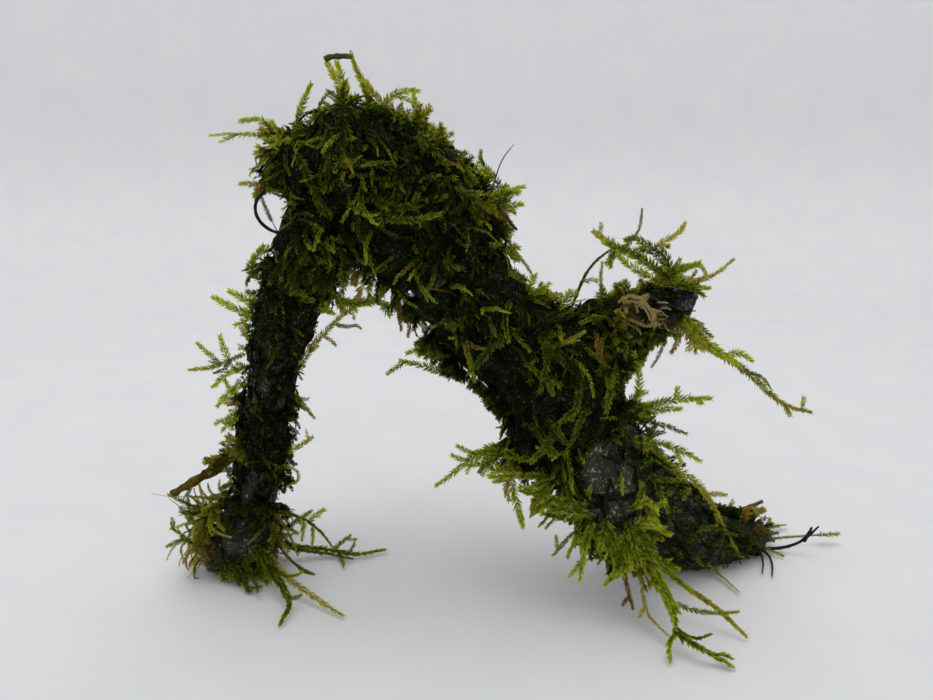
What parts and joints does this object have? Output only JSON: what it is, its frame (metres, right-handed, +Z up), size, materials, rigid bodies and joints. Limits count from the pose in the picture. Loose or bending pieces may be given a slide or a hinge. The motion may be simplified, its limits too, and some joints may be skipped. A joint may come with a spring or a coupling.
{
  "type": "java moss on driftwood",
  "caption": "Arched forked driftwood overgrown with trailing java moss, a free-standing aquarium plant with a swim-through arch.",
  "frame": {"origin": "on the surface that it stands on, under the middle of its outline", "axes": "+X from the left foot to the right foot, -Y towards the viewer, +Z up"},
  "size_m": [0.1995, 0.0912, 0.1395],
  "materials": {
    "bark": "wet grey-black bark",
    "moss": "wet leafy green",
    "rootlet": "wiry black",
    "twig": "damp brown"
  },
  "bodies": {
    "root": {"driftwood_trunk": "bark", "driftwood_left_leg": "bark", "driftwood_side_branch": "bark", "driftwood_front_stub": "bark", "driftwood_right_foot": "bark", "moss_crown": "moss", "moss_trunk": "moss", "moss_left_leg": "moss", "moss_left_foot": "moss", "moss_side_branch": "moss", "moss_front_stub": "moss", "moss_right_foot": "moss", "black_rootlet_loop": "rootlet", "black_rootlet_tip": "rootlet", "splinter_twig": "twig", "tip_twig": "twig", "amber_twig": "twig", "reddish_twig": "twig"}
  },
  "joints": []
}
